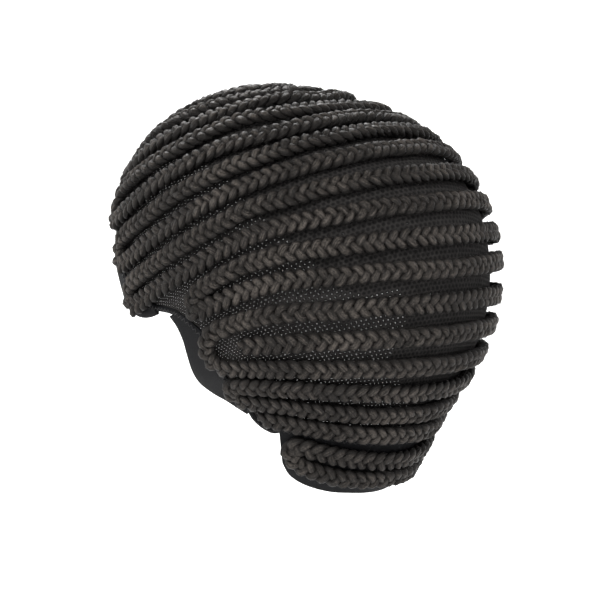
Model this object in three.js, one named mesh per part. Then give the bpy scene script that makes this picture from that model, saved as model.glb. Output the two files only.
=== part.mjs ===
// Braided wig cap held in its worn shape. Millimetres, +Z up, face towards -Y, wearer's left +X.
// The origin is the highest point of the inside, where the cap rests on the crown of a head.
import * as THREE from "three";

// Driving sizes
const HEAD_WIDTH = 148; // inside of the cap from ear to ear, at the height of the form's centre
const HEAD_LENGTH = 187; // inside of the cap from forehead to back, at the same height
const HEAD_HEIGHT = 86; // crown above the form's centre
const WALL = 1.4; // net, bands and tabs: thickness of the stretched cloth
const SEAM = 0.35; // gap between neighbouring pieces of cloth, and between the two ends of a seam
const LIFT = 0.7; // gap under a braid
const BRAID_WIDTH = 9.0;
const ROW_GAP = 0.3; // kept between two rows where a braid is as wide as the room between them
const BRAID_HEIGHT = 4.6;
const ROW_STEP = 10; // length of one straight facet of a braid over the crown
const ROW_ANGLE = 7.5; // degrees round the head of one straight facet of a braid
const TURN_STEPS = 6; // facets round a braid's turn
const NET_RINGS = 14; // facets of the net from its edge to the crown
const NET_CROWDING = 1.5; // over 1, the facets are shorter near the edge
const BAND_STEPS = 2; // facets across a narrow band
const NAPE_STEPS = 6; // facets across the hollow of the nape
const CROWN_ROUND = 8; // degrees from the crown to the net's last ring

// The head form the cap is stretched over, as shares: a head whose crown is 1 above its centre
// is WIDE wide and LONG long, and the table holds the distance from its centre to the inside of
// the cap at the back, the side and the front, for each height angle (degrees above the centre)
const WIDE = 1.721;
const LONG = 2.174;
const FORM = [
  { up: -78, back: 1.512, side: 1.314, front: 0.93 },
  { up: -66, back: 1.151, side: 1.035, front: 0.953 },
  { up: -57, back: 1.064, side: 0.936, front: 0.988 },
  { up: -48, back: 1, side: 0.849, front: 1.047 },
  { up: -36, back: 0.953, side: 0.802, front: 1.105 },
  { up: -24, back: 0.965, side: 0.826, front: 1.128 },
  { up: -12, back: 1, side: 0.849, front: 1.14 },
  { up: 0, back: 1.035, side: 0.86, front: 1.14 },
  { up: 15, back: 1.07, side: 0.884, front: 1.151 },
  { up: 30, back: 1.07, side: 0.942, front: 1.163 },
  { up: 45, back: 1.035, side: 0.988, front: 1.163 },
  { up: 60, back: 0.988, side: 1.012, front: 1.116 },
  { up: 75, back: 0.965, side: 1.012, front: 1.058 },
  { up: 90, back: 1, side: 1, front: 1 },
];
const UNIT = new THREE.Vector3(HEAD_WIDTH / WIDE, HEAD_LENGTH / LONG, HEAD_HEIGHT);
const CENTRE = new THREE.Vector3(0, 0, -HEAD_HEIGHT);

// Edges of the cloth, wearer's left side. Places are angles: around (from the middle of the back,
// 180 is the middle of the forehead) and up.
const NAPE_BAND = [
  { around: 0, hem: -63.5, seam: -46 },
  { around: 9, hem: -63.5, seam: -46 },
  { around: 18, hem: -63.6, seam: -46 },
  { around: 27, hem: -63.9, seam: -46 },
  { around: 36, hem: -63.8, seam: -46 },
  { around: 44, hem: -63.3, seam: -46 },
  { around: 50, hem: -62.2, seam: -46 },
  { around: 54, hem: -60.4, seam: -46 },
  { around: 56.5, hem: -57.2, seam: -46 },
];
const BEHIND_EAR = [
  { around: 60, up: -47.2 },
  { around: 65, up: -46.2 },
  { around: 69, up: -43.8 },
];
const EAR_TAB = [
  { hemAround: 72.5, hemUp: -42.4, seamAround: 70.5, seamUp: -40.5 },
  { hemAround: 77, hemUp: -40.6, seamAround: 73, seamUp: -37 },
  { hemAround: 83, hemUp: -37.8, seamAround: 75, seamUp: -33 },
  { hemAround: 89.5, hemUp: -35, seamAround: 76.5, seamUp: -28 },
  { hemAround: 93.8, hemUp: -30.5, seamAround: 78, seamUp: -23 },
  { hemAround: 93.6, hemUp: -24.5, seamAround: 79, seamUp: -18 },
  { hemAround: 92.5, hemUp: -18.5, seamAround: 80.3, seamUp: -13 },
  { hemAround: 92, hemUp: -12.5, seamAround: 83, seamUp: -9 },
  { hemAround: 93.8, hemUp: -7.6, seamAround: 88, seamUp: -5.4 },
  { hemAround: 97, hemUp: -4.2, seamAround: 93.5, seamUp: -2.8 },
];
const TEMPLE_NOTCH = [
  { around: 97.5, up: -2.2 },
  { around: 101, up: -2 },
];
const FRONT_BAND = [
  { hemAround: 104, hemUp: -4.2, seamAround: 104.5, seamUp: -1.9 },
  { hemAround: 109, hemUp: -5.6, seamAround: 109.5, seamUp: -1.9 },
  { hemAround: 115, hemUp: -6, seamAround: 114.5, seamUp: -2.1 },
  { hemAround: 121, hemUp: -4.8, seamAround: 118.5, seamUp: -1.2 },
  { hemAround: 125.8, hemUp: -2, seamAround: 121.8, seamUp: 1.2 },
  { hemAround: 129, hemUp: 1.9, seamAround: 125, seamUp: 4.8 },
  { hemAround: 133, hemUp: 5.7, seamAround: 129.2, seamUp: 8.7 },
  { hemAround: 138, hemUp: 9.2, seamAround: 134.5, seamUp: 12.6 },
  { hemAround: 144, hemUp: 13.8, seamAround: 140.5, seamUp: 17.3 },
  { hemAround: 152, hemUp: 21.5, seamAround: 149, seamUp: 25 },
  { hemAround: 161, hemUp: 29, seamAround: 159, seamUp: 32.8 },
  { hemAround: 170.5, hemUp: 33.8, seamAround: 169.5, seamUp: 37.8 },
  { hemAround: 180, hemUp: 35.2, seamAround: 180, seamUp: 39.3 },
];

// Middle lines of the braids on the left side: height angle at each angle around from the back,
// and the angle around where the row ends or starts to turn
const ROW_COLUMNS = [0, 30, 60, 90, 120, 150];
const ROWS = {
  napeLower: { at0: -56.6, at30: -56.8, at60: -54, at90: -54, at120: -54, at150: -54, ends: 45 },
  napeUpper: { at0: -50.7, at30: -50.2, at60: -48.6, at90: -48, at120: -48, at150: -48, ends: 45 },
  neckSingle: { at0: -41.6, at30: -41.6, at60: -41.2, at90: -43, at120: -45, at150: -45, ends: 66 },
  neckLower: { at0: -33.7, at30: -33.6, at60: -33.4, at90: -35.5, at120: -40, at150: -45, ends: 69.5 },
  neckUpper: { at0: -25, at30: -24.8, at60: -25.6, at90: -28.5, at120: -35, at150: -45, ends: 69.5 },
  earLower: { at0: -15.6, at30: -16.3, at60: -18.4, at90: -21, at120: -27, at150: -30, ends: 72 },
  earSingle: { at0: -6.5, at30: -7.2, at60: -10.4, at90: -16.5, at120: -25, at150: -30, ends: 67 },
  earUpper: { at0: 2.3, at30: 1.8, at60: -1.7, at90: -13.5, at120: -25, at150: -30, ends: 72 },
  templeLower: { at0: 11, at30: 11, at60: 7.2, at90: -6.5, at120: -25, at150: -30, ends: 80 },
  templeUpper: { at0: 19.3, at30: 18.9, at60: 15.4, at90: 0.2, at120: -15, at150: -30, ends: 80 },
  cornerLower: { at0: 28.2, at30: 27.3, at60: 23.2, at90: 9.6, at120: -4, at150: -8, ends: 114 },
  cornerUpper: { at0: 37, at30: 35.7, at60: 30.8, at90: 18.6, at120: 2.8, at150: -8, ends: 114 },
  sideLower: { at0: 46.9, at30: 44.8, at60: 38.8, at90: 27.4, at120: 11.4, at150: -5, ends: 121 },
  sideUpper: { at0: 57, at30: 53.8, at60: 47, at90: 36.4, at120: 20.8, at150: 5, ends: 124 },
  hairlineLower: { at0: 67, at30: 63.4, at60: 55.8, at90: 46.8, at120: 30, at150: 12, ends: 133 },
  hairlineUpper: { at0: 76.6, at30: 73.6, at60: 66.6, at90: 59, at120: 41.6, at150: 23, ends: 138 },
};
// Braids over the crown, seen from above, in shares of the head's width and length: half width,
// where they turn at the back (behind the origin) and how high they end at the forehead
const CROWN_MIDDLE = -0.23; // where these rows are widest
const CROWN_TAPER = 0.417; // forward of that, where they would meet
const CROWN_ROWS = {
  outer: { half: 0.324, turn: 0.043, ends: 35 },
  second: { half: 0.233, turn: -0.027, ends: 41 },
  third: { half: 0.142, turn: -0.096, ends: 45 },
  inner: { half: 0.0514, turn: -0.166, ends: 47 },
};

// Half outline of a braid across: share of the width, share of the height
const BRAID_SECTION = [
  { across: -0.42, up: 0 },
  { across: 0.42, up: 0 },
  { across: 0.5, up: 0.45 },
  { across: 0.27, up: 1 },
  { across: -0.27, up: 1 },
  { across: -0.5, up: 0.45 },
];

const WIDEST = WALL + LIFT + BRAID_SECTION[2].up * BRAID_HEIGHT; // height of its widest line

const rad = THREE.MathUtils.degToRad;
const deg = THREE.MathUtils.radToDeg;

// Smooth value of a column between the lines of a table
function between(table, key, column, x) {
  let i = table.findIndex((line) => line[key] > x) - 1;
  if (i < -1) i = table.length - 2;
  i = Math.max(0, Math.min(i, table.length - 2));
  const slope = (k) => {
    const a = table[Math.max(0, k - 1)],
      b = table[Math.min(table.length - 1, k + 1)];
    return (b[column] - a[column]) / (b[key] - a[key]);
  };
  const p = table[i],
    q = table[i + 1],
    h = q[key] - p[key],
    t = (x - p[key]) / h;
  return (
    p[column] * (2 * t ** 3 - 3 * t ** 2 + 1) +
    slope(i) * h * (t ** 3 - 2 * t ** 2 + t) +
    q[column] * (3 * t ** 2 - 2 * t ** 3) +
    slope(i + 1) * h * (t ** 3 - t ** 2)
  );
}

// Share from the centre to the inside of the cap
function reach(around, up) {
  const c = Math.cos(rad(around)),
    s = Math.sin(rad(around)),
    along = between(FORM, "up", c >= 0 ? "back" : "front", up),
    side = between(FORM, "up", "side", up);
  return 1 / Math.hypot(c / along, s / side);
}

// Point at a place on the form, raised out of it
function place(around, up, raise = 0) {
  const r = reach(around, up),
    c = Math.cos(rad(up));
  const p = new THREE.Vector3(
    r * Math.sin(rad(around)) * c,
    r * Math.cos(rad(around)) * c,
    r * Math.sin(rad(up)),
  ).multiply(UNIT);
  return raise ? p.addScaledVector(outward(around, up), raise).add(CENTRE) : p.add(CENTRE);
}

// Direction straight out of the form
function outward(around, up) {
  const step = 0.5;
  const lo = place(around, up - step),
    hi = place(around, up + step);
  const wide = Math.min(20, step / Math.max(0.02, Math.cos(rad(up))));
  const left = place(around + wide, up),
    right = place(around - wide, up);
  return hi.sub(lo).cross(left.sub(right)).normalize();
}

// The place on the form under a point
function placeOf(point) {
  const d = point.clone().sub(CENTRE).divide(UNIT);
  return { around: deg(Math.atan2(d.x, d.y)), up: deg(Math.atan2(d.z, Math.hypot(d.x, d.y))) };
}

// Line of places moved sideways over the form, to the left of its direction seen from outside
function shift(line, distance) {
  return line.map((q, i) => {
    const a = line[Math.max(0, i - 1)],
      b = line[Math.min(line.length - 1, i + 1)];
    const along = place(b.around, b.up).sub(place(a.around, a.up)).normalize();
    const side = outward(q.around, q.up).cross(along);
    return placeOf(place(q.around, q.up).addScaledVector(side, distance));
  });
}

const mirrored = (line) => line.map((q) => ({ ...q, around: -q.around })).reverse();

// Closed mesh from a grid of outside points and the same grid inside; rows wrap round if closed
function shell(outside, inside, closed, apex) {
  const points = [],
    index = [],
    rows = outside.length,
    cols = outside[0].length;
  for (const grid of [outside, inside]) for (const row of grid) points.push(...row);
  const at = (side, j, i) => side * rows * cols + j * cols + (i % cols);
  const quad = (a, b, c, d) => index.push(a, c, b, a, d, c);
  const last = closed ? cols : cols - 1;
  for (let j = 0; j < rows - 1; j++)
    for (let i = 0; i < last; i++) {
      quad(at(0, j, i), at(0, j, i + 1), at(0, j + 1, i + 1), at(0, j + 1, i));
      quad(at(1, j, i), at(1, j + 1, i), at(1, j + 1, i + 1), at(1, j, i + 1));
    }
  for (let i = 0; i < last; i++) {
    quad(at(0, 0, i), at(1, 0, i), at(1, 0, i + 1), at(0, 0, i + 1));
    if (!apex) quad(at(0, rows - 1, i + 1), at(1, rows - 1, i + 1), at(1, rows - 1, i), at(0, rows - 1, i));
  }
  if (!closed)
    for (let j = 0; j < rows - 1; j++) {
      quad(at(0, j + 1, 0), at(1, j + 1, 0), at(1, j, 0), at(0, j, 0));
      quad(at(0, j, cols - 1), at(1, j, cols - 1), at(1, j + 1, cols - 1), at(0, j + 1, cols - 1));
    }
  if (apex) {
    const top = points.push(apex[0], apex[1]) - 2;
    for (let i = 0; i < cols; i++) {
      index.push(at(0, rows - 1, i + 1), at(0, rows - 1, i), top);
      index.push(at(1, rows - 1, i), at(1, rows - 1, i + 1), top + 1);
    }
  }
  return solid(points, index);
}

function solid(points, index) {
  const g = new THREE.BufferGeometry().setFromPoints(points);
  g.setIndex(index);
  g.computeVertexNormals();
  return g;
}

// Strip of cloth between two lines of places
function strip(hem, seam, steps = BAND_STEPS) {
  const sheet = (raise) =>
    Array.from({ length: steps + 1 }, (_, j) =>
      hem.map((q, i) => {
        const t = j / steps,
          p = place(q.around, q.up).lerp(place(seam[i].around, seam[i].up), t),
          on = placeOf(p);
        return place(on.around, on.up, raise);
      }),
    );
  return shell(sheet(WALL), sheet(0), false);
}

const hemOf = (table) => table.map((q) => ({ around: q.hemAround, up: q.hemUp }));
const seamOf = (table) => table.map((q) => ({ around: q.seamAround, up: q.seamUp }));
const both = (line) => [...mirrored(line).slice(0, -1), ...line];

// Smooth band along the front hairline, from temple to temple over the forehead
function frontBand() {
  const onward = (q) => ({ ...q, around: q.around + 360 });
  const round = (line) => [...line, ...mirrored(line).slice(1).map(onward)];
  return strip(round(hemOf(FRONT_BAND)), shift(round(seamOf(FRONT_BAND)), SEAM));
}

// Smooth elastic tab in front of and round the ear
function earTab(side) {
  const hem = hemOf(EAR_TAB),
    seam = shift(seamOf(EAR_TAB), SEAM);
  return side > 0 ? strip(hem, seam) : strip(mirrored(hem), mirrored(seam));
}

// Band over the nape, rounded at both ends
function napeBand() {
  const hem = NAPE_BAND.map((q) => ({ around: q.around, up: q.hem })),
    seam = NAPE_BAND.map((q) => ({ around: q.around, up: q.seam }));
  return strip(both(hem), shift(both(seam), SEAM), NAPE_STEPS);
}

// Net dome: one ring of places along its lower edge, spreading evenly up to the crown
function netCrown() {
  const left = [
    ...NAPE_BAND.map((q) => ({ around: q.around, up: q.seam })),
    ...BEHIND_EAR,
    ...seamOf(EAR_TAB),
    ...TEMPLE_NOTCH,
    ...seamOf(FRONT_BAND),
  ];
  const right = mirrored(left).slice(1, -1).map((q) => ({ ...q, around: q.around + 360 }));
  const edge = [...left, ...right];
  const sheet = (raise) =>
    Array.from({ length: NET_RINGS }, (_, j) =>
      edge.map((q, i) => {
        const t = j / (NET_RINGS - 1),
          even = (360 * i) / edge.length,
          spread = Math.min(1, 1.6 * t),
          up = q.up + (90 - CROWN_ROUND - q.up) * t ** NET_CROWDING;
        return place(q.around + (even - q.around) * spread * spread * (3 - 2 * spread), up, raise);
      }),
    );
  const top = (raise) => place(0, 90).add(new THREE.Vector3(0, 0, raise));
  return shell(sheet(WALL), sheet(0), true, [top(WALL), top(0)]);
}

// Braid: its section carried along a line of places, closed into a ring or with two blunt ends
function braid({ line, closed, room }) {
  const n = line.length,
    points = [],
    index = [],
    sides = BRAID_SECTION.length;
  const spot = line.map((q) => place(q.around, q.up, WALL + LIFT));
  line.forEach((q, i) => {
    const a = closed ? (i + n - 1) % n : Math.max(0, i - 1),
      b = closed ? (i + 1) % n : Math.min(n - 1, i + 1);
    const out = outward(q.around, q.up),
      along = spot[b].clone().sub(spot[a]).normalize(),
      side = along.clone().cross(out).normalize();
    const end = !closed && (i === 0 || i === n - 1);
    const wide = Math.min(BRAID_WIDTH, room[i]) * (end ? 0.55 : 1),
      high = BRAID_HEIGHT * (end ? 0.55 : 1);
    for (const s of BRAID_SECTION)
      points.push(
        spot[i].clone().addScaledVector(side, s.across * wide).addScaledVector(out, s.up * high),
      );
  });
  const last = closed ? n : n - 1;
  for (let i = 0; i < last; i++)
    for (let k = 0; k < sides; k++) {
      const a = i * sides + k,
        b = i * sides + ((k + 1) % sides),
        c = ((i + 1) % n) * sides + ((k + 1) % sides),
        d = ((i + 1) % n) * sides + k;
      index.push(a, c, b, a, d, c);
    }
  if (!closed)
    for (let k = 1; k < sides - 1; k++) {
      index.push(0, k, k + 1);
      const e = (n - 1) * sides;
      index.push(e, e + k + 1, e + k);
    }
  return solid(points, index);
}

// Height angle of a row; the line before the first mirrors the one after it
function rowUp(row, around) {
  const line = ROW_COLUMNS.map((c) => ({ c, up: row["at" + c] }));
  line.unshift({ c: -line[1].c, up: line[1].up });
  return between(line, "c", "up", around);
}

// Places along a row from the middle of the back to its left end
function halfRow(row) {
  const n = Math.ceil(row.ends / ROW_ANGLE);
  return Array.from({ length: n + 1 }, (_, i) => {
    const around = (row.ends * i) / n;
    return { around, up: rowUp(row, around) };
  });
}

// Places along a crown row from its turn at the back to its left end at the forehead
function halfCrownRow(row) {
  const long = row.turn - CROWN_MIDDLE,
    places = [];
  for (let y = row.turn; y > CROWN_MIDDLE - CROWN_TAPER; y -= 0.0027) {
    const t = (y - CROWN_MIDDLE) / (y > CROWN_MIDDLE ? long : CROWN_TAPER);
    const spot = fromAbove(row.half * Math.sqrt(Math.max(0, 1 - t * t)) * WIDE, y * LONG);
    if (spot.up < row.ends && y < CROWN_MIDDLE) break;
    places.push(spot);
  }
  return spaced(places, Math.min(ROW_STEP, row.half * HEAD_WIDTH * 0.55));
}

// The place on the form straight under a point seen from above, given as shares of the form
function fromAbove(x, y) {
  const around = deg(Math.atan2(x, y)),
    wanted = Math.hypot(x, y);
  let lo = 0,
    hi = 90;
  for (let k = 0; k < 40; k++) {
    const up = (lo + hi) / 2;
    if (reach(around, up) * Math.cos(rad(up)) > wanted) lo = up;
    else hi = up;
  }
  return { around, up: (lo + hi) / 2 };
}

// The same line with even steps
function spaced(places, step) {
  const points = places.map((q) => place(q.around, q.up)),
    run = [0];
  for (let i = 1; i < points.length; i++) run.push(run[i - 1] + points[i].distanceTo(points[i - 1]));
  const whole = run[run.length - 1],
    n = Math.max(3, Math.round(whole / step));
  return Array.from({ length: n + 1 }, (_, k) => {
    const want = (whole * k) / n;
    let i = run.findIndex((r) => r >= want - 1e-9);
    if (i < 1) i = 1;
    const t = (want - run[i - 1]) / (run[i] - run[i - 1]);
    return placeOf(points[i - 1].clone().lerp(points[i], t));
  });
}

// Round turn from the end of one half row to the end of another, without the two end places
function turn(from, to) {
  const p0 = place(from.at(-1).around, from.at(-1).up),
    p3 = place(to.at(-1).around, to.at(-1).up);
  const ahead = (line, end) => {
    const b = line.at(-2);
    return end.clone().sub(place(b.around, b.up)).normalize();
  };
  const reachOut = (2 / 3) * p0.distanceTo(p3);
  const p1 = p0.clone().addScaledVector(ahead(from, p0), reachOut),
    p2 = p3.clone().addScaledVector(ahead(to, p3), reachOut);
  const curve = new THREE.CubicBezierCurve3(p0, p1, p2, p3);
  return curve.getSpacedPoints(TURN_STEPS).slice(1, -1).map(placeOf);
}

// Ring of two half rows and their mirror, joined by a turn at each side
function loop(name, lower, upper) {
  const half = [...lower, ...turn(lower, upper), ...upper.slice().reverse()];
  return { name, closed: true, line: [...half, ...mirrored(half).slice(1, -1)] };
}

const single = (name, half) => ({ name, closed: false, line: both(half) });

const BRAIDS = [
  loop("braid_01_nape_loop", halfRow(ROWS.napeLower), halfRow(ROWS.napeUpper)),
  single("braid_02_neck_row", halfRow(ROWS.neckSingle)),
  loop("braid_03_neck_loop", halfRow(ROWS.neckLower), halfRow(ROWS.neckUpper)),
  loop("braid_04_ear_loop", halfRow(ROWS.earLower), halfRow(ROWS.earUpper)),
  single("braid_05_ear_row", halfRow(ROWS.earSingle)),
  loop("braid_06_temple_loop", halfRow(ROWS.templeLower), halfRow(ROWS.templeUpper)),
  loop("braid_07_corner_loop", halfRow(ROWS.cornerLower), halfRow(ROWS.cornerUpper)),
  loop("braid_08_side_loop", halfRow(ROWS.sideLower), halfRow(ROWS.sideUpper)),
  loop("braid_09_hairline_loop", halfRow(ROWS.hairlineLower), halfRow(ROWS.hairlineUpper)),
  loop("braid_10_crown_loop", halfCrownRow(CROWN_ROWS.outer), halfCrownRow(CROWN_ROWS.second)),
  single("braid_11_crown_row", halfCrownRow(CROWN_ROWS.third)),
  single("braid_12_top_row", halfCrownRow(CROWN_ROWS.inner)),
];
for (const own of BRAIDS) {
  own.spots = own.line.map((q) => place(q.around, q.up, WIDEST));
  own.run = [0];
  own.spots.forEach((spot, i) => {
    const next = own.spots[(i + 1) % own.spots.length];
    own.run.push(own.run[i] + spot.distanceTo(next));
  });
}

// Way along a braid between two of its places
function along(own, i, k) {
  const way = Math.abs(own.run[i] - own.run[k]);
  return own.closed ? Math.min(way, own.run.at(-1) - way) : way;
}

// Widest that a braid can be at each place: up to the next row or its own other side
function roomOf(own) {
  const foot = new THREE.Vector3();
  const bare = own.spots.map((spot, i) => {
    let room = Infinity;
    for (const other of BRAIDS)
      other.spots.forEach((a, k) => {
        const next = (k + 1) % other.spots.length;
        if (next === 0 && !other.closed) return;
        new THREE.Line3(a, other.spots[next]).closestPointToPoint(spot, true, foot);
        const far = foot.distanceTo(spot);
        const way = other === own ? Math.min(along(own, i, k), along(own, i, next)) : Infinity;
        if (way > 2 * far) room = Math.min(room, far);
      });
    return room - ROW_GAP;
  });
  return bare.map((_, i) => Math.min(...bare.filter((_, k) => along(own, i, k) < 1.6 * BRAID_WIDTH)));
}
for (const own of BRAIDS) own.room = roomOf(own);

const cloth = (color, roughness) => () =>
  new THREE.MeshStandardMaterial({ color, roughness, metalness: 0 });
const net = cloth("#15161a", 0.9),
  elastic = cloth("#101116", 0.8),
  hair = cloth("#231d18", 0.55);

const cap = new THREE.Group();
cap.name = "wig_cap";
function add(name, geometry, material) {
  const mesh = new THREE.Mesh(geometry, material());
  mesh.name = name;
  cap.add(mesh);
}

add("net_crown", netCrown(), net);
add("front_band", frontBand(), elastic);
add("left_ear_tab", earTab(1), elastic);
add("right_ear_tab", earTab(-1), elastic);
add("nape_band", napeBand(), elastic);
for (const own of BRAIDS) add(own.name, braid(own), hair);

export default cap;
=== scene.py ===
import math

import bpy
import numpy as np
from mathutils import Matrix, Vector


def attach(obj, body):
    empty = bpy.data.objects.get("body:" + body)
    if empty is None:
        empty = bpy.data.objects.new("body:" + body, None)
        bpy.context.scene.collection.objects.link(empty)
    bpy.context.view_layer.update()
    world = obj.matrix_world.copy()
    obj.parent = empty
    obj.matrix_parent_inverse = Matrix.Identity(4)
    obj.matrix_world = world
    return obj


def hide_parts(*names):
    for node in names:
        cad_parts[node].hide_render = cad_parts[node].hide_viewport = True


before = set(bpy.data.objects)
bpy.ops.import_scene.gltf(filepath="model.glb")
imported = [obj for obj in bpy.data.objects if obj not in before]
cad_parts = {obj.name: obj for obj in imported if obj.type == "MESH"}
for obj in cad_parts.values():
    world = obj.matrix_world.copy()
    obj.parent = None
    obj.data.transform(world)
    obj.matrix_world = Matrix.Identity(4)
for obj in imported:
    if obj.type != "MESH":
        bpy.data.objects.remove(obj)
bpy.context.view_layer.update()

MM = 0.001

# ---------------------------------------------------------------- camera
FORM_CENTRE = Vector((0, 0, -0.086))
AZIMUTH, ELEVATION, DISTANCE = 135, 6, 1.3
FRAME_PX = 600  # across the photograph's frame
PX = 1 / 2.2 * MM  # one of its pixels at the middle of the head
AIM_LEFT, AIM_DOWN = 4, 7  # pixels from the middle of the head to the middle of the frame
SENSOR = 36


def toward(azimuth, elevation):
    """Direction from the head to what stands round it, azimuth 0 being in front of the face."""
    a, e = math.radians(azimuth), math.radians(elevation)
    return Vector((math.sin(a) * math.cos(e), -math.cos(a) * math.cos(e), math.sin(e)))


back = toward(AZIMUTH, ELEVATION)
right = Vector((0, 0, 1)).cross(back).normalized()
upward = back.cross(right)
aim = FORM_CENTRE - right * AIM_LEFT * PX - upward * AIM_DOWN * PX
lens = bpy.data.cameras.new("camera")
lens.sensor_width = SENSOR
lens.lens = SENSOR * DISTANCE / (FRAME_PX * PX)
lens.clip_start, lens.clip_end = 0.05, 30
camera = bpy.data.objects.new("camera", lens)
bpy.context.scene.collection.objects.link(camera)
camera.rotation_mode = "QUATERNION"
camera.rotation_quaternion = (-back).to_track_quat("-Z", "Y")
camera.location = aim + back * DISTANCE
bpy.context.scene.camera = camera

# ---------------------------------------------------------------- the head form, as in the part's source
WALL = 1.4  # of the net
LIFT = 0.3  # kept between the net and a braid
HEAD_WIDTH, HEAD_LENGTH, HEAD_HEIGHT = 148, 187, 86
WIDE, LONG = 1.721, 2.174  # of a head whose crown is 1 above its centre
FORM = np.array([  # up, back, side, front
    (-78, 1.512, 1.314, 0.93), (-66, 1.151, 1.035, 0.953), (-57, 1.064, 0.936, 0.988),
    (-48, 1, 0.849, 1.047), (-36, 0.953, 0.802, 1.105), (-24, 0.965, 0.826, 1.128),
    (-12, 1, 0.849, 1.14), (0, 1.035, 0.86, 1.14), (15, 1.07, 0.884, 1.151), (30, 1.07, 0.942, 1.163),
    (45, 1.035, 0.988, 1.163), (60, 0.988, 1.012, 1.116), (75, 0.965, 1.012, 1.058), (90, 1, 1, 1),
], float)
UNIT = np.array([HEAD_WIDTH / WIDE, HEAD_LENGTH / LONG, HEAD_HEIGHT])
CENTRE = np.array([0, 0, -HEAD_HEIGHT])


def between(x, knots, values):
    """Smooth value between the lines of a table."""
    n = len(knots)
    after, before = np.minimum(np.arange(n) + 1, n - 1), np.maximum(np.arange(n) - 1, 0)
    slope = (values[after] - values[before]) / (knots[after] - knots[before])
    i = np.clip(np.searchsorted(knots, x, side="right") - 1, 0, n - 2)
    h = knots[i + 1] - knots[i]
    t = (x - knots[i]) / h
    return (
        values[i] * (2 * t**3 - 3 * t**2 + 1)
        + slope[i] * h * (t**3 - 2 * t**2 + t)
        + values[i + 1] * (3 * t**2 - 2 * t**3)
        + slope[i + 1] * h * (t**3 - t**2)
    )


def bare(around, up):
    """Points on the head form, in degrees around from the middle of the back to the left, and up."""
    a, u = np.radians(around), np.radians(up)
    c, s = np.cos(a), np.sin(a)
    along = np.where(c >= 0, between(up, FORM[:, 0], FORM[:, 1]), between(up, FORM[:, 0], FORM[:, 3]))
    r = 1 / np.hypot(c / along, s / between(up, FORM[:, 0], FORM[:, 2]))
    return np.stack([r * s * np.cos(u), r * c * np.cos(u), r * np.sin(u)], -1) * UNIT + CENTRE


def unit(v):
    return v / np.maximum(np.linalg.norm(v, axis=-1, keepdims=True), 1e-12)


def outward(around, up):
    """Directions straight off the form."""
    wide = np.minimum(20, 0.5 / np.maximum(0.02, np.cos(np.radians(up))))
    rise = bare(around, up + 0.5) - bare(around, up - 0.5)
    across = bare(around + wide, up) - bare(around - wide, up)
    return unit(np.cross(rise, across))


def place(around, up, raised=0.0):
    """Points raised off the form."""
    around, up = np.asarray(around, float), np.asarray(up, float)
    return bare(around, up) + outward(around, up) * np.asarray(raised)[..., None]


def place_of(p):
    """Around and up of the points."""
    d = (p - CENTRE) / UNIT
    return np.degrees(np.arctan2(d[..., 0], d[..., 1])), np.degrees(
        np.arctan2(d[..., 2], np.hypot(d[..., 0], d[..., 1]))
    )


def onto(p, raised):
    """The points moved along the ray from the centre onto the form, and raised."""
    return place(*place_of(p), raised)


# ---------------------------------------------------------------- edges of the cloth, wearer's left half
NAPE_BAND = np.array([  # around, hem
    (0, -63.5), (9, -63.5), (18, -63.6), (27, -63.9), (36, -63.8), (44, -63.3), (50, -62.2), (54, -60.4),
    (56.5, -57.2),
])
NAPE_SEAM = -46
BEHIND_EAR = np.array([(60, -47.2), (65, -46.2), (69, -43.8)])
EAR_TAB = np.array([  # hem around, hem up, seam around, seam up
    (72.5, -42.4, 70.5, -40.5), (77, -40.6, 73, -37), (83, -37.8, 75, -33), (89.5, -35, 76.5, -28),
    (93.8, -30.5, 78, -23), (93.6, -24.5, 79, -18), (92.5, -18.5, 80.3, -13), (92, -12.5, 83, -9),
    (93.8, -7.6, 88, -5.4), (97, -4.2, 93.5, -2.8),
])
TEMPLE_NOTCH = np.array([(97.5, -2.2), (101, -2)])
FRONT_BAND = np.array([
    (104, -4.2, 104.5, -1.9), (109, -5.6, 109.5, -1.9), (115, -6, 114.5, -2.1), (121, -4.8, 118.5, -1.2),
    (125.8, -2, 121.8, 1.2), (129, 1.9, 125, 4.8), (133, 5.7, 129.2, 8.7), (138, 9.2, 134.5, 12.6),
    (144, 13.8, 140.5, 17.3), (152, 21.5, 149, 25), (161, 29, 159, 32.8), (170.5, 33.8, 169.5, 37.8),
    (180, 35.2, 180, 39.3),
])

# ---------------------------------------------------------------- braid rows, wearer's left half
ROW_COLUMNS = np.array([-30, 0, 30, 60, 90, 120, 150.0])
ROWS = {  # up at 0, 30, 60, 90, 120 and 150 degrees around, and where the row ends
    "napeLower": (-56.6, -56.8, -54, -54, -54, -54, 45),
    "napeUpper": (-50.7, -50.2, -48.6, -48, -48, -48, 45),
    "neckSingle": (-41.6, -41.6, -41.2, -43, -45, -45, 66),
    "neckLower": (-33.7, -33.6, -33.4, -35.5, -40, -45, 69.5),
    "neckUpper": (-25, -24.8, -25.6, -28.5, -35, -45, 69.5),
    "earLower": (-15.6, -16.3, -18.4, -21, -27, -30, 72),
    "earSingle": (-6.5, -7.2, -10.4, -16.5, -25, -30, 67),
    "earUpper": (2.3, 1.8, -1.7, -13.5, -25, -30, 72),
    "templeLower": (11, 11, 7.2, -6.5, -25, -30, 80),
    "templeUpper": (19.3, 18.9, 15.4, 0.2, -15, -30, 80),
    "cornerLower": (28.2, 27.3, 23.2, 9.6, -4, -8, 114),
    "cornerUpper": (37, 35.7, 30.8, 18.6, 2.8, -8, 114),
    "sideLower": (46.9, 44.8, 38.8, 27.4, 11.4, -5, 121),
    "sideUpper": (57, 53.8, 47, 36.4, 20.8, 5, 124),
    "hairlineLower": (67, 63.4, 55.8, 46.8, 30, 12, 133),
    "hairlineUpper": (76.6, 73.6, 66.6, 59, 41.6, 23, 138),
}
CROWN_MIDDLE, CROWN_TAPER = -0.23, 0.417
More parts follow.
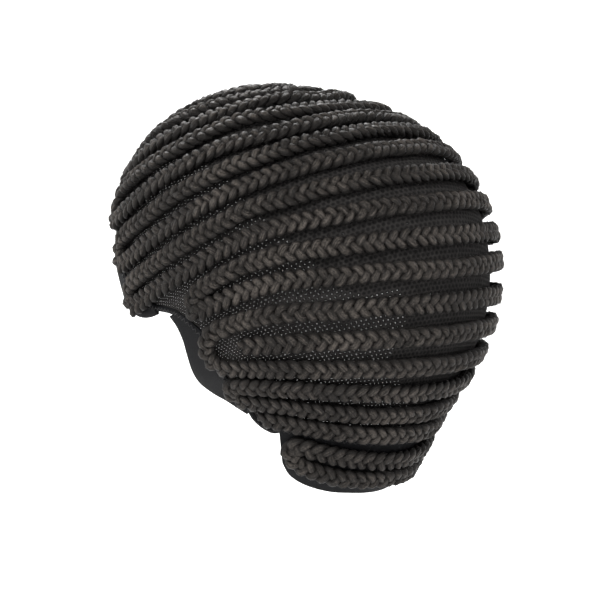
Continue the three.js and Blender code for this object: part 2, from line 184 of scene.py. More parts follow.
CROWN_ROWS = {  # half width, where it turns at the back, height of its front end
    "outer": (0.324, 0.043, 35), "second": (0.233, -0.027, 41), "third": (0.142, -0.096, 45),
    "inner": (0.0514, -0.166, 47),
}
ROW_STEPS, CROWN_STEPS, TURN_STEPS = 260, 160, 40  # points along a half row, a quarter crown row and a turn
TURN_AHEAD = 9  # a row's direction at its end is read over this length


def row_line(name):
    """Places along half a row, from the middle of the back."""
    v = np.array(ROWS[name], float)
    around = np.linspace(0, v[-1], ROW_STEPS)
    return np.stack([around, between(around, ROW_COLUMNS, np.r_[v[1], v[:-1]])], 1)


def under(x, y):
    """The places on the form straight under points seen from above."""
    around, wanted = np.degrees(np.arctan2(x, y)), np.hypot(x, y)
    lo, hi = np.zeros_like(wanted), np.full_like(wanted, 90.0)
    for _ in range(40):
        up = (lo + hi) / 2
        p = (bare(around, up) - CENTRE) / UNIT
        far = np.hypot(p[:, 0], p[:, 1]) > wanted
        lo, hi = np.where(far, up, lo), np.where(far, hi, up)
    return np.stack([around, (lo + hi) / 2], 1)


def crown_line(name):
    """Places along half a row of the crown, from the middle of the back to its front end."""
    half, at, ends = CROWN_ROWS[name]
    q = np.linspace(0, math.pi / 2, CROWN_STEPS)
    x = np.r_[half * np.sin(q), half * np.cos(q[1:])]
    y = np.r_[CROWN_MIDDLE + (at - CROWN_MIDDLE) * np.cos(q), CROWN_MIDDLE - CROWN_TAPER * np.sin(q[1:])]
    line = under(x * WIDE, y * LONG)
    low = np.nonzero((line[:, 1] < ends) & (y < CROWN_MIDDLE))[0]
    return line[: low[0]] if len(low) else line


def mirrored(line):
    """The same line on the wearer's right, run the other way."""
    return np.stack([-line[:, 0], line[:, 1]], 1)[::-1]


def turn(a, b):
    """Round turn from the end of one half row to the end of another."""
    p, q = place(*a.T), place(*b.T)

    def ahead(line):
        back_by = np.linalg.norm(line - line[-1], axis=1)
        return unit(line[-1] - line[np.nonzero(back_by > TURN_AHEAD)[0][-1]])

    out = 2 / 3 * np.linalg.norm(p[-1] - q[-1])
    c = [p[-1], p[-1] + ahead(p) * out, q[-1] + ahead(q) * out, q[-1]]
    t = np.linspace(0, 1, TURN_STEPS + 2)[1:-1, None]
    curve = (1 - t) ** 3 * c[0] + 3 * (1 - t) ** 2 * t * c[1] + 3 * (1 - t) * t * t * c[2] + t**3 * c[3]
    return np.stack(place_of(curve), 1)


def ring(lower, upper):
    """Two rows joined by a turn at both their ends."""
    half = np.vstack([lower, turn(lower, upper), upper[::-1]])
    return np.vstack([half, mirrored(half)[1:-1]])


def open_row(half):
    """One row with both its ends."""
    return np.vstack([mirrored(half)[:-1], half])


BRAIDS = [  # name, whether it is closed, places along its middle
    ("braid_01_nape_loop", True, ring(row_line("napeLower"), row_line("napeUpper"))),
    ("braid_02_neck_row", False, open_row(row_line("neckSingle"))),
    ("braid_03_neck_loop", True, ring(row_line("neckLower"), row_line("neckUpper"))),
    ("braid_04_ear_loop", True, ring(row_line("earLower"), row_line("earUpper"))),
    ("braid_05_ear_row", False, open_row(row_line("earSingle"))),
    ("braid_06_temple_loop", True, ring(row_line("templeLower"), row_line("templeUpper"))),
    ("braid_07_corner_loop", True, ring(row_line("cornerLower"), row_line("cornerUpper"))),
    ("braid_08_side_loop", True, ring(row_line("sideLower"), row_line("sideUpper"))),
    ("braid_09_hairline_loop", True, ring(row_line("hairlineLower"), row_line("hairlineUpper"))),
    ("braid_10_crown_loop", True, ring(crown_line("outer"), crown_line("second"))),
    ("braid_11_crown_row", False, open_row(crown_line("third"))),
    ("braid_12_top_row", False, open_row(crown_line("inner"))),
]


# ---------------------------------------------------------------- meshes
def piece(name, points, faces, uv, material, slot, nodes):
    """A mesh in metres from points in millimetres, riding on the root and standing for its CAD nodes."""
    name = name + "_look"
    mesh = bpy.data.meshes.new(name)
    mesh.from_pydata((points * MM).tolist(), [], faces)
    mesh.uv_layers.new(name="UVMap").data.foreach_set("uv", uv.astype(np.float32).ravel())
    mesh.shade_smooth()
    mesh.materials.append(material)
    o = bpy.data.objects.new(name, mesh)
    bpy.context.scene.collection.objects.link(o)
    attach(o, "root")
    if nodes:
        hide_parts(*nodes)
    return o


def resample(p, step, closed):
    """The line again with even steps; a closed one has no double end."""
    if closed:
        p = np.vstack([p, p[:1]])
    run = np.r_[0, np.cumsum(np.linalg.norm(np.diff(p, axis=0), axis=1))]
    n = max(8, int(round(run[-1] / step)))
    at = np.linspace(0, run[-1], n + 1)
    q = np.stack([np.interp(at, run, p[:, k]) for k in range(3)], 1)
    return (q[:-1], at[:-1], run[-1]) if closed else (q, at, run[-1])


def slopes(p, closed):
    """Directions along a line of points."""
    if closed:
        return unit(np.roll(p, -1, 0) - np.roll(p, 1, 0))
    return unit(np.gradient(p, axis=0))


ROUND = 10.0  # once round a tube in its UVs


def tube(line, side, out, wide, high, sides, closed, shift, run=None, uneven=1.0):
    """Tube of elliptical section along a line, with its faces and its UVs: u is run, or else the length
    along it, and v goes from shift times ROUND at its underside to ROUND more. uneven scales its points."""
    n = len(line)
    q = -math.pi / 2 + 2 * math.pi * np.arange(sides) / sides
    points = (
        line[:, None]
        + side[:, None] * (uneven * wide[:, None] * np.cos(q))[..., None]
        + out[:, None] * (uneven * high[:, None] * np.sin(q))[..., None]
    ).reshape(-1, 3)
    rings = n if closed else n - 1
    i, k = np.meshgrid(np.arange(rings), np.arange(sides), indexing="ij")
    i2, k2 = (i + 1) % n, (k + 1) % sides
    faces = np.stack([i * sides + k, i * sides + k2, i2 * sides + k2, i2 * sides + k], -1).reshape(-1, 4)
    if run is None:
        run = np.r_[0, np.cumsum(np.linalg.norm(np.roll(line, -1, 0) - line, axis=1))]
    girth = ROUND / sides
    u0, u1 = run[i], run[i + 1]
    v0, v1 = k * girth + ROUND * shift, (k + 1) * girth + ROUND * shift
    uv = np.stack([u0, v0, u0, v1, u1, v1, u1, v0], -1).reshape(-1, 2)
    return points, faces, uv


class Parts:
    """Several tubes gathered into one mesh."""

    def __init__(self):
        self.points, self.faces, self.uv, self.count = [], [], [], 0

    def add(self, points, faces, uv):
        self.points.append(points)
        self.faces.append(faces + self.count)
        self.uv.append(uv)
        self.count += len(points)

    def joined(self):
        return np.vstack(self.points), np.vstack(self.faces).tolist(), np.vstack(self.uv)


def wander(r, at, whole, closed, count=5, shortest=25):
    """Smooth seeded noise along a line, about -1 to 1."""
    total = np.zeros_like(at)
    most = max(2, int(whole / shortest))
    for _ in range(count):
        turns = r.integers(1, most) if closed else r.uniform(1, most)
        total += np.sin(2 * math.pi * (turns * at / whole + r.random())) * r.uniform(0.5, 1)
    return total / count * 1.5


# ---------------------------------------------------------------- sizes that a mesh shares with its material
BRAID_PITCH = 14.2  # length in which each of the three strands comes back to its side
NET_PITCH = 2.3  # between the middles of two meshes
NET_RISE = NET_PITCH * math.sqrt(3) / 2  # between two rows of meshes


# ---------------------------------------------------------------- materials
def new_material(name):
    """A material, its nodes, its links and its shader."""
    m = bpy.data.materials.new(name)
    m.use_nodes = True
    tree = m.node_tree
    return m, tree.nodes, tree.links, tree.nodes["Principled BSDF"]


def noise(n, links, vector, scale, detail=2.0, rough=0.5):
    node = n.new("ShaderNodeTexNoise")
    node.inputs["Scale"].default_value = scale
    node.inputs["Detail"].default_value = detail
    node.inputs["Roughness"].default_value = rough
    links.new(vector, node.inputs["Vector"])
    return node.outputs["Fac"]


def stretched(n, links, vector, scale):
    """The coordinates times scale, for a pattern that is drawn out along the fibre."""
    node = n.new("ShaderNodeMapping")
    node.inputs["Scale"].default_value = scale
    links.new(vector, node.inputs["Vector"])
    return node.outputs["Vector"]


def ramp(n, links, fac, stops):
    """A colour for each value, from stops of value and colour."""
    node = n.new("ShaderNodeValToRGB")
    e = node.color_ramp.elements
    e[0].position, e[0].color = stops[0][0], (*stops[0][1], 1)
    e[1].position, e[1].color = stops[-1][0], (*stops[-1][1], 1)
    for at, colour in stops[1:-1]:
        e.new(at).color = (*colour, 1)
    links.new(fac, node.inputs["Fac"])
    return node.outputs["Color"]


def mixed(n, links, a, b, share):
    """Two values in one, share of it from the second."""
    node = n.new("ShaderNodeMix")
    node.data_type = "FLOAT"
    node.inputs[0].default_value = share
    links.new(a, node.inputs[2])
    links.new(b, node.inputs[3])
    return node.outputs[0]


def ranged(n, links, value, lo, hi, at_lo, at_hi):
    """The value moved from the range lo to hi to the range at_lo to at_hi, and kept in it."""
    node = n.new("ShaderNodeMapRange")
    for key, v in (("From Min", lo), ("From Max", hi), ("To Min", at_lo), ("To Max", at_hi)):
        node.inputs[key].default_value = v
    links.new(value, node.inputs["Value"])
    return node.outputs["Result"]


def bump(n, links, shader, height, strength, distance):
    node = n.new("ShaderNodeBump")
    node.inputs["Strength"].default_value = strength
    node.inputs["Distance"].default_value = distance
    links.new(height, node.inputs["Height"])
    links.new(node.outputs["Normal"], shader.inputs["Normal"])


def every(period):
    """The scale at which waves come back after the period."""
    return math.pi / 10 / period


def waves(n, links, vector, direction, scale, phase=0.0, distortion=0.0):
    node = n.new("ShaderNodeTexWave")
    node.bands_direction = direction
    node.inputs["Scale"].default_value = scale
    node.inputs["Phase Offset"].default_value = phase
    node.inputs["Distortion"].default_value = distortion
    links.new(vector, node.inputs["Vector"])
    return node.outputs["Fac"]


def product(n, links, a, b):
    node = n.new("ShaderNodeMath")
    node.operation = "MULTIPLY"
    links.new(a, node.inputs[0])
    links.new(b, node.inputs[1])
    return node.outputs[0]


def hair_material():
    m, n, links, shader = new_material("braided_fibre")
    uv = n.new("ShaderNodeTexCoord").outputs["UV"]
    where = n.new("ShaderNodeTexCoord").outputs["Object"]
    fibres = noise(n, links, stretched(n, links, uv, (0.2, 2.2, 1)), 1.0, 3, 0.6)
    bundles = noise(n, links, stretched(n, links, uv, (0.1, 0.8, 1)), 1.0, 2, 0.5)
    frizz = noise(n, links, where, 1300, 3, 0.65)
    patches = noise(n, links, where, 30, 2, 0.5)
    # painted highlight: a strand is lit brown where it comes up over the others, speckled by fibre noise;
    # painted shade: it stays dark where it goes under
    risen = waves(n, links, uv, "X", every(BRAID_PITCH / 2), math.pi / 2)
    top = waves(n, links, uv, "Y", every(ROUND))
    painted_highlight_crest = product(n, links, risen, product(n, links, top, top))
    speckle = mixed(n, links, mixed(n, links, fibres, frizz, 0.45), patches, 0.25)
    lit = product(
        n, links, ranged(n, links, painted_highlight_crest, 0.42, 0.92, 0, 1), ranged(n, links, speckle, 0.42, 0.6, 0, 1)
    )
    # the ramp's brown top stop is the colour of the painted highlight, and its dark end the painted shade
    links.new(
        ramp(n, links, lit, [
            (0.0, (0.0085, 0.0078, 0.0074)), (0.3, (0.0135, 0.012, 0.011)), (1.0, (0.054, 0.047, 0.0415)),
        ]),
        shader.inputs["Base Color"],
    )
    links.new(ranged(n, links, frizz, 0.35, 0.65, 0.36, 0.55), shader.inputs["Roughness"])
    shader.inputs["Specular IOR Level"].default_value = 0.065
    bump(n, links, shader, mixed(n, links, fibres, bundles, 0.5), 1.0, 0.0012)
    return m


def net_material():
    m, n, links, shader = new_material("cap_net")
    uv = n.new("ShaderNodeTexCoord").outputs["UV"]
    where = n.new("ShaderNodeTexCoord").outputs["Object"]
    fine = noise(n, links, where, 2600, 2, 0.6)
    wide = noise(n, links, where, 160, 2, 0.5)
    # three sets of waves that all peak in the middle of each mesh of the net, where the colour is painted
    # darker round the small hole: painted shade
    sets = []
    for turned in (0, math.pi / 3, -math.pi / 3):
        node = n.new("ShaderNodeMapping")
        node.inputs["Rotation"].default_value = (0, 0, turned)
        links.new(uv, node.inputs["Vector"])
        sets.append(waves(n, links, node.outputs["Vector"], "Y", every(NET_RISE), math.pi))
    meshes = mixed(n, links, mixed(n, links, sets[0], sets[1], 0.5), sets[2], 1 / 3)
    thread = ranged(n, links, meshes, 0.3, 0.75, 1, 0)
    # painted shade: darker toward the middle of each mesh, round its hole, lighter on the thread, with
    # random tone
    tone_and_hole_shade = product(n, links, thread, ranged(n, links, mixed(n, links, fine, wide, 0.5), 0.35, 0.65, 0.5, 1))
    links.new(
        ramp(n, links, tone_and_hole_shade, [(0.0, (0.008, 0.0076, 0.0076)), (1.0, (0.022, 0.0207, 0.0202))]),
        shader.inputs["Base Color"],
    )
    shader.inputs["Roughness"].default_value = 0.9
    shader.inputs["Specular IOR Level"].default_value = 0.06
    bump(n, links, shader, mixed(n, links, thread, fine, 0.4), 0.7, 0.0004)
    return m


def knit_material():
    m, n, links, shader = new_material("elastic_knit")
    uv = n.new("ShaderNodeTexCoord").outputs["UV"]
    ribs = waves(n, links, uv, "Y", 0.55, distortion=0.6)
    loops = waves(n, links, uv, "X", 0.75, distortion=0.8)
    knit = mixed(n, links, ribs, loops, 0.45)
    fine = noise(n, links, uv, 5, 3, 0.6)
    links.new(
        ramp(n, links, mixed(n, links, knit, fine, 0.5), [
            (0.3, (0.0012, 0.0013, 0.0016)), (0.7, (0.0045, 0.0046, 0.0055)),
        ]),
        shader.inputs["Base Color"],
    )
    links.new(ranged(n, links, fine, 0.3, 0.7, 0.6, 0.8), shader.inputs["Roughness"])
    shader.inputs["Specular IOR Level"].default_value = 0.09
    bump(n, links, shader, mixed(n, links, knit, fine, 0.25), 0.5, 0.00025)
    return m


def thread_material():
    m, n, links, shader = new_material("stitch_thread")
    uv = n.new("ShaderNodeTexCoord").outputs["UV"]
    ply = noise(n, links, stretched(n, links, uv, (2.5, 1.2, 1)), 1.0, 2, 0.5)
    links.new(
        ramp(n, links, ply, [(0.35, (0.006, 0.006, 0.0065)), (0.65, (0.024, 0.0235, 0.024))]),
        shader.inputs["Base Color"],
    )
    shader.inputs["Roughness"].default_value = 0.5
    shader.inputs["Specular IOR Level"].default_value = 0.15
    bump(n, links, shader, ply, 0.4, 0.0001)
    return m


def floor_material():
    m, _, _, shader = new_material("pale_floor")
    shader.inputs["Base Color"].default_value = (0.86, 0.86, 0.86, 1)
    shader.inputs["Roughness"].default_value = 0.9
    shader.inputs["Emission Color"].default_value = (1, 1, 1, 1)
    shader.inputs["Emission Strength"].default_value = 0.4
    return m


HAIR, NET, KNIT, THREAD = hair_material(), net_material(), knit_material(), thread_material()


# ---------------------------------------------------------------- net
NET_HOLE = 0.09  # hole, as a share of its mesh
NET_OUTER, NET_INNER = 0.95, 0.6  # height of the thread's middle and of the hole's rim
NET_MARGIN = 0.8  # a mesh may stand out of the net's edge by this
NET_TILT = math.radians(38)  # of the flat map's pole, up from the back
NET_RADIUS = 86.0  # of the ball that it is laid out from
NET_SPARE = 4  # the flat map's cells are laid this far past the fence, and then cut to it
EDGE_STEPS = 8  # between two places that are given for an edge
CORNER_SNAP = 0.05  # corners nearer than this are one


def dense(knots, per):
    """Smooth line through places, in per steps from each to the next."""
    x = np.arange(len(knots), dtype=float)
    at = np.linspace(0, len(knots) - 1, (len(knots) - 1) * per + 1)
    return np.stack([between(at, x, knots[:, k].astype(float)) for k in range(knots.shape[1])], 1)


def net_edge():
    """Places along the whole edge of the net, once round."""
    left = np.vstack([
        np.stack([NAPE_BAND[:, 0], np.full(len(NAPE_BAND), float(NAPE_SEAM))], 1),
        BEHIND_EAR, EAR_TAB[:, 2:], TEMPLE_NOTCH, FRONT_BAND[:, 2:],
    ])
    return np.vstack([left, mirrored(left)[1:-1] + (360, 0)])


POLE = unit(np.array([0, math.cos(NET_TILT), math.sin(NET_TILT)]))
POLE_X = np.array([1.0, 0, 0])
POLE_Y = np.cross(POLE, POLE_X)


def flat_of(around, up):
    """The net's own flat map: distance and direction from a pole at the back of the crown."""
    a, u = np.radians(around), np.radians(up)
    d = np.stack([np.sin(a) * np.cos(u), np.cos(a) * np.cos(u), np.sin(u)], -1)
    far = np.arccos(np.clip(d @ POLE, -1, 1))
    way = np.arctan2(d @ POLE_Y, d @ POLE_X)
    return np.stack([far * np.cos(way), far * np.sin(way)], -1) * NET_RADIUS


def from_flat(q):
    """Around and up of points on the flat map."""
    far = np.linalg.norm(q, axis=-1) / NET_RADIUS
    way = np.arctan2(q[..., 1], q[..., 0])
    d = (
        np.cos(far)[..., None] * POLE
        + (np.sin(far) * np.cos(way))[..., None] * POLE_X
        + (np.sin(far) * np.sin(way))[..., None] * POLE_Y
    )
    return np.degrees(np.arctan2(d[..., 0], d[..., 1])), np.degrees(np.arcsin(np.clip(d[..., 2], -1, 1)))


def inside(q, fence, margin):
    """True for points inside a closed fence, or within margin of it."""
    a, b = fence, np.roll(fence, -1, 0)
    result = np.zeros(len(q), bool)
    for chunk in range(0, len(q), 2000):
        c = q[chunk : chunk + 2000, None]
        crosses = (a[:, 1] > c[..., 1]) != (b[:, 1] > c[..., 1])
        with np.errstate(divide="ignore", invalid="ignore"):
            x = a[:, 0] + (c[..., 1] - a[:, 1]) / (b[:, 1] - a[:, 1]) * (b[:, 0] - a[:, 0])
        odd = ((crosses & (c[..., 0] < x)).sum(1) % 2) == 1
        d = b - a
        t = np.clip(((c - a) * d).sum(-1) / np.maximum((d * d).sum(-1), 1e-9), 0, 1)
        near = np.linalg.norm(c - a - t[..., None] * d, axis=-1).min(1) < margin
        result[chunk : chunk + 2000] = odd | near
    return result


def net():
    """Six-sided meshes on the flat map, each with a hole, laid on the form."""
    edge = dense(net_edge(), EDGE_STEPS)
    fence = flat_of(edge[:, 0], edge[:, 1])
    lo, hi = fence.min(0) - NET_SPARE, fence.max(0) + NET_SPARE
    j = np.arange(int(lo[1] / NET_RISE) - 1, int(hi[1] / NET_RISE) + 2)
    i = np.arange(int(lo[0] / NET_PITCH) - 1, int(hi[0] / NET_PITCH) + 2)
    jj, ii = np.meshgrid(j, i, indexing="ij")
    cells = np.stack([NET_PITCH * (ii + (jj % 2) / 2), NET_RISE * jj], -1).reshape(-1, 2)
    cells = cells[inside(cells, fence, NET_MARGIN)]
    q = np.radians(30 + 60 * np.arange(6))
    rim = np.stack([np.cos(q), np.sin(q)], -1) * NET_PITCH / math.sqrt(3)
    corners = (cells[:, None] + rim).reshape(-1, 2)
    key, where = np.unique(np.round(corners / CORNER_SNAP).astype(int), axis=0, return_inverse=True)
    where = where.reshape(-1)
    shared = np.zeros((len(key), 2))
    shared[where] = corners
    holes = (cells[:, None] + rim * NET_HOLE).reshape(-1, 2)
    n, m = len(cells), len(shared)
    points = np.vstack([place(*from_flat(shared), NET_OUTER), place(*from_flat(holes), NET_INNER)])
    out = where.reshape(n, 6)
    inn = m + np.arange(n * 6).reshape(n, 6)
    faces = np.stack([out, np.roll(out, -1, 1), np.roll(inn, -1, 1), inn], -1).reshape(-1, 4)
    flat = np.vstack([shared, holes])
    return piece("net_crown", points, faces.tolist(), flat[faces.reshape(-1)], NET, "net", ["net_crown"])


# ---------------------------------------------------------------- bands and tabs
BAND_SIDES = 36
FRONT_STEPS, TAB_STEPS, NAPE_STEPS = 8, 10, 6  # between two places that are given
BAND_MIDDLE, BAND_HALF = 0.95, 0.85  # height of its middle, and half its thickness
BAND_LAP = 1.8  # over the net at its seam
BAND_ROUND = 0.34  # power of its section: 1 is round, 0 is square


def band(name, hem, seam):
    """Stretched knit band between two lines of places, with rounded edges."""
    h, s = place(*hem.T), place(*seam.T)
    wide = np.linalg.norm(s - h, axis=1)
    sides = BAND_SIDES
    q = 2 * math.pi * (np.arange(sides) + 0.5) / sides

    def full(v):
        return np.sign(v) * np.abs(v) ** BAND_ROUND

    across = 0.5 + 0.5 * full(np.cos(q))
    raised = BAND_MIDDLE + BAND_HALF * full(np.sin(q))
    share = across[None] * (1 + BAND_LAP / np.maximum(wide, 3))[:, None]
    points = h[:, None] + (s - h)[:, None] * share[..., None]
    points = onto(points, np.broadcast_to(raised, share.shape))
    n = len(h)
    i, k = np.meshgrid(np.arange(n - 1), np.arange(sides), indexing="ij")
    k2 = (k + 1) % sides
    faces = np.stack([i * sides + k, i * sides + k2, (i + 1) * sides + k2, (i + 1) * sides + k], -1)
    run = np.r_[0, np.cumsum(np.linalg.norm(np.diff((h + s) / 2, axis=0), axis=1))]
    u, v = np.broadcast_to(run[:, None], share.shape), share * wide[:, None]
    uv = np.stack([u, v], -1).reshape(-1, 2)
    faces = faces.reshape(-1, 4)
    caps = [list(range(sides))[::-1], [(n - 1) * sides + k for k in range(sides)]]
    loops = np.concatenate([faces.reshape(-1), np.array(caps).reshape(-1)])
    return piece(name, points.reshape(-1, 3), faces.tolist() + caps, uv[loops], KNIT, "elastic", [name])


THREAD_HALF = 0.17  # half the thickness of a stitch


def zigzag(made, line, pitch, half, raised, r):
    """Zigzag stitches along a line of points, to both sides of it by half."""
    p, at, whole = resample(line, pitch / 2, False)
    t = slopes(p, False)
    side = unit(np.cross(t, outward(*place_of(p))))
    corner = p + side * (half * np.where(np.arange(len(p)) % 2, 1, -1))[:, None]
    fine, _, _ = resample(corner, pitch / 5, False)
    fine = onto(fine, raised)
    t = slopes(fine, False)
    b = unit(np.cross(t, outward(*place_of(fine))))
    thick = np.full(len(fine), THREAD_HALF)
    made.add(*tube(fine, b, np.cross(b, t), thick, thick, 6, False, r.integers(0, 90)))


net_piece = net()
front = np.vstack([FRONT_BAND, (FRONT_BAND[::-1] * (-1, 1, -1, 1) + (360, 0, 360, 0))[1:]])
front = dense(front, FRONT_STEPS)
front_piece = band("front_band", front[:, :2], front[:, 2:])
tab = dense(EAR_TAB, TAB_STEPS)
left_piece = band("left_ear_tab", tab[:, :2], tab[:, 2:])
right_piece = band("right_ear_tab", mirrored(tab[:, :2]), mirrored(tab[:, 2:]))
nape = dense(np.vstack([NAPE_BAND[::-1] * (-1, 1), NAPE_BAND[1:]]), NAPE_STEPS)
nape_seam = np.stack([nape[:, 0], np.full(len(nape), float(NAPE_SEAM))], 1)
nape_piece = band("nape_band", nape, nape_seam)

# ---------------------------------------------------------------- bindings and stitches
BINDING_HEIGHT, BINDING_WIDE, BINDING_HIGH = 0.8, 1.5, 0.85  # of its middle, and its half width and height
EDGE_STITCH = (2.2, 0.6, 1.75)  # pitch, half width and height
SEAM_STITCH = (2.4, 0.85, 1.9)
BOUND_EDGES = [  # the net's edge where it has no band, and a little way over the bands beside it
    np.vstack([[(55.5, -46)], BEHIND_EAR, [(71, -40.2)]]),
    np.vstack([[(93, -2.9)], TEMPLE_NOTCH, [(105.5, -1.9)]]),
]

r = np.random.default_rng(5)
binding, stitches = Parts(), Parts()
for sign in (1, -1):
    for edge in BOUND_EDGES:
        line = dense(edge, TAB_STEPS) * (sign, 1)
        p = place(*line.T, BINDING_HEIGHT)
        t = slopes(p, False)
        b = unit(np.cross(t, outward(*line.T)))
        wide, high = np.full(len(p), BINDING_WIDE), np.full(len(p), BINDING_HIGH)
        binding.add(*tube(p, b, np.cross(b, t), wide, high, 12, False, 0))
        zigzag(stitches, place(*line.T), *EDGE_STITCH, r)
for line in (front[:, 2:], tab[:, 2:], tab[:, 2:] * (-1, 1), nape_seam):
    zigzag(stitches, place(*line.T), *SEAM_STITCH, r)
binding_piece = piece("edge_binding", *binding.joined(), KNIT, "elastic", [])
stitch_piece = piece("band_stitches", *stitches.joined(), THREAD, "elastic", [])

# ---------------------------------------------------------------- braids
BRAID_REACH = 2.85  # sideways swing of a strand
BRAID_RISE = 1.15  # how far it rises and sinks
STRAND_WIDE, STRAND_HIGH = 1.75, 1.5  # half width and half height
STRAND_SIDES = 12
STRAND_SWELL = 0.07  # thicker by this share where it is on top
BRAID_STEEP = 0.27  # how much quicker it goes across on top
BRAID_MIDDLE = WALL + LIFT + BRAID_RISE + STRAND_HIGH  # height of its middle
BRAID_STEP = 0.75  # between two rings of a strand
SWAY, DRIFT = 0.4, 0.5  # unevenness of the row's line, and of the strands' phase in radians
UNEVEN_WIDTH, UNEVEN_STRAND = 0.07, 0.09  # shares
WIDTH_RUN, STRAND_RUN = 14, 8  # their shortest waves
END_RUN, END_THIN, END_SINK = 7, 0.25, 2.2  # a free end's taper, its last thickness, its fall to the net
GRAIN, GRAIN_SPREAD = 0.12, 2.2  # of a strand's surface, as a share, and what three rings' sum is divided by
FIRST_SEED = 11
HAIR_EVERY = 3.4  # length of braid to a loose hair of each strand
HAIR_RINGS = 5
HAIR_THICK, HAIR_TIP = 0.1, 0.04
HAIR_SHORT, HAIR_LONG = 2.5, 7
HAIR_LEAN = 1.2  # its root is at most this many radians from the strand's top
ROOT_WIDE, ROOT_HIGH = 1.7, 1.3
HAIR_SPREAD = 0.5  # sideways, of its direction and of its bend
HAIR_LIFT, HAIR_DROOP = (0.05, 0.55), (-0.5, 0.1)  # outward, of its direction and of its bend
HAIR_CURVE = 12  # more is straighter


def loose_hair(r, centre, t, b, out):
    """A hair that stands off a strand, whose middle, direction, side and top are given."""
    lie = r.uniform(-HAIR_LEAN, HAIR_LEAN)
    root = centre + b * (ROOT_WIDE * math.sin(lie)) + out * (ROOT_HIGH * math.cos(lie))
    go = t * r.choice([-1, 1]) + b * r.normal(0, HAIR_SPREAD) + out * r.uniform(*HAIR_LIFT)
    bend = out * r.uniform(*HAIR_DROOP) + b * r.normal(0, HAIR_SPREAD)
    s = np.linspace(0, r.uniform(HAIR_SHORT, HAIR_LONG), HAIR_RINGS)[:, None]
    line = root + unit(go) * s + bend * s**2 / HAIR_CURVE
    side = unit(np.cross(slopes(line, False), out + 0.01))
    thick = np.linspace(HAIR_THICK, HAIR_TIP, HAIR_RINGS)
    return tube(line, side, np.cross(side, slopes(line, False)), thick, thick, 3, False, r.integers(0, 90))


def braid(name, closed, line, seed):
    """A braid of three strands along a row: each swings once across in BRAID_PITCH and rises twice."""
    r = np.random.default_rng(seed)
    p, at, whole = resample(place(line[:, 0], line[:, 1], BRAID_MIDDLE), BRAID_STEP, closed)
    out = outward(*place_of(p))
    along = slopes(p, closed)
    side = unit(np.cross(along, out))
    out = np.cross(side, along)
    p = p + side * (SWAY * wander(r, at, whole, closed))[:, None]
    turns = max(1, round(whole / BRAID_PITCH))
    phase = 2 * math.pi * (turns * at / whole) + DRIFT * wander(r, at, whole, closed)
    width = 1 + UNEVEN_WIDTH * wander(r, at, whole, closed, shortest=WIDTH_RUN)
    end = np.ones_like(at)
    if not closed:
        near = np.clip(np.minimum(at, whole - at) / END_RUN, 0, 1)
        end = END_THIN + (1 - END_THIN) * np.sqrt(near)
        p = p - out * ((1 - near) ** 2 * END_SINK)[:, None]
    made = Parts()
    for k in range(3):
        q = phase + 2 * math.pi * k / 3
        own = 1 + UNEVEN_STRAND * wander(r, at, whole, closed, shortest=STRAND_RUN)
        steep = q - BRAID_STEEP * np.cos(2 * q)
        centre = (
            p
            + side * (BRAID_REACH * width * end * np.sin(steep))[:, None]
            + out * (BRAID_RISE * end * np.sin(2 * q))[:, None]
        )
        t = slopes(centre, closed)
        b = unit(np.cross(t, out))
        plump = own * end * (1 + STRAND_SWELL * np.sin(2 * q))
        grain = r.normal(0, GRAIN, (len(centre), STRAND_SIDES))
        grain = (np.roll(grain, 1, 0) + grain + np.roll(grain, -1, 0)) / GRAIN_SPREAD
        made.add(*tube(
            centre, b, np.cross(b, t), STRAND_WIDE * plump, STRAND_HIGH * plump, STRAND_SIDES, closed,
            r.integers(0, 90), np.r_[q, q[0] + 2 * math.pi * turns] / (2 * math.pi) * BRAID_PITCH,
            1 + grain,
        ))
        for i in r.choice(len(centre) - 2, int(whole / HAIR_EVERY), replace=False):
            made.add(*loose_hair(r, centre[i], t[i], b[i], out[i]))
    piece(name, *made.joined(), HAIR, "braid", [name])


for seed, (name, closed, line) in enumerate(BRAIDS):
    braid(name, closed, line, seed + FIRST_SEED)

# ---------------------------------------------------------------- floor, light and world
FLOOR = -0.26  # height, and below all in metres
FLOOR_FLAT, FLOOR_CURVE = 1.1, 0.9  # radius of its flat middle, and of the curve up to its rim
FLOOR_STEPS = 72  # round it

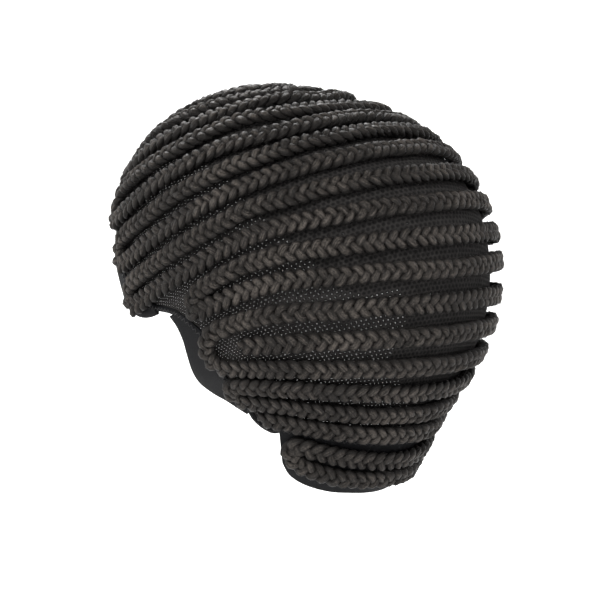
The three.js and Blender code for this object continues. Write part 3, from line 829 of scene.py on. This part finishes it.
profile = [(FLOOR_FLAT, 0.0)]
profile += [
    (FLOOR_FLAT + FLOOR_CURVE * math.sin(q), FLOOR_CURVE - FLOOR_CURVE * math.cos(q))
    for q in np.linspace(0.1, 1.25, 12)
]
dish_points = [(0, 0, FLOOR)]
for radius, height in profile:
    for k in range(FLOOR_STEPS):
        q = 2 * math.pi * k / FLOOR_STEPS
        dish_points.append((radius * math.cos(q), radius * math.sin(q), FLOOR + height))
dish_faces = [(0, 1 + k, 1 + (k + 1) % FLOOR_STEPS) for k in range(FLOOR_STEPS)]
for i in range(len(profile) - 1):
    for k in range(FLOOR_STEPS):
        a, b = 1 + i * FLOOR_STEPS + k, 1 + i * FLOOR_STEPS + (k + 1) % FLOOR_STEPS
        dish_faces.append((a, a + FLOOR_STEPS, b + FLOOR_STEPS, b))
dish_mesh = bpy.data.meshes.new("floor")
dish_mesh.from_pydata(dish_points, [], dish_faces)
dish_mesh.shade_smooth()
dish_mesh.materials.append(floor_material())
floor = bpy.data.objects.new("floor", dish_mesh)
bpy.context.scene.collection.objects.link(floor)


def area_light(name, azimuth, elevation, distance, size, power, colour):
    way = toward(azimuth, elevation)
    light = bpy.data.lights.new(name, "AREA")
    light.shape = "DISK"
    light.size = size
    light.energy = power
    light.color = colour
    o = bpy.data.objects.new(name, light)
    bpy.context.scene.collection.objects.link(o)
    o.location = FORM_CENTRE + way * distance
    o.rotation_mode = "QUATERNION"
    o.rotation_quaternion = way.to_track_quat("Z", "Y")


for soft in (  # name, azimuth, elevation, distance, size, power and colour
    ("key", 126, 36, 1.5, 0.5, 24, (1, 0.985, 0.96)),
    ("fill", 180, 24, 1.6, 0.5, 8, (1, 1, 1)),
    ("side", 75, 30, 1.6, 0.5, 8, (1, 1, 1)),
    ("far_side", 325, 40, 1.6, 0.6, 22, (1, 1, 1)),
    ("far_fill", 250, 25, 1.6, 0.6, 9, (1, 1, 1)),
    ("face", 20, 25, 1.6, 0.6, 9, (1, 1, 1)),
):
    area_light(*soft)

world = bpy.data.worlds.new("studio")
bpy.context.scene.world = world
world.use_nodes = True
background = world.node_tree.nodes["Background"]
background.inputs["Color"].default_value = (1, 1, 1, 1)
background.inputs["Strength"].default_value = 0.3
bpy.context.scene.view_settings.view_transform = "Standard"
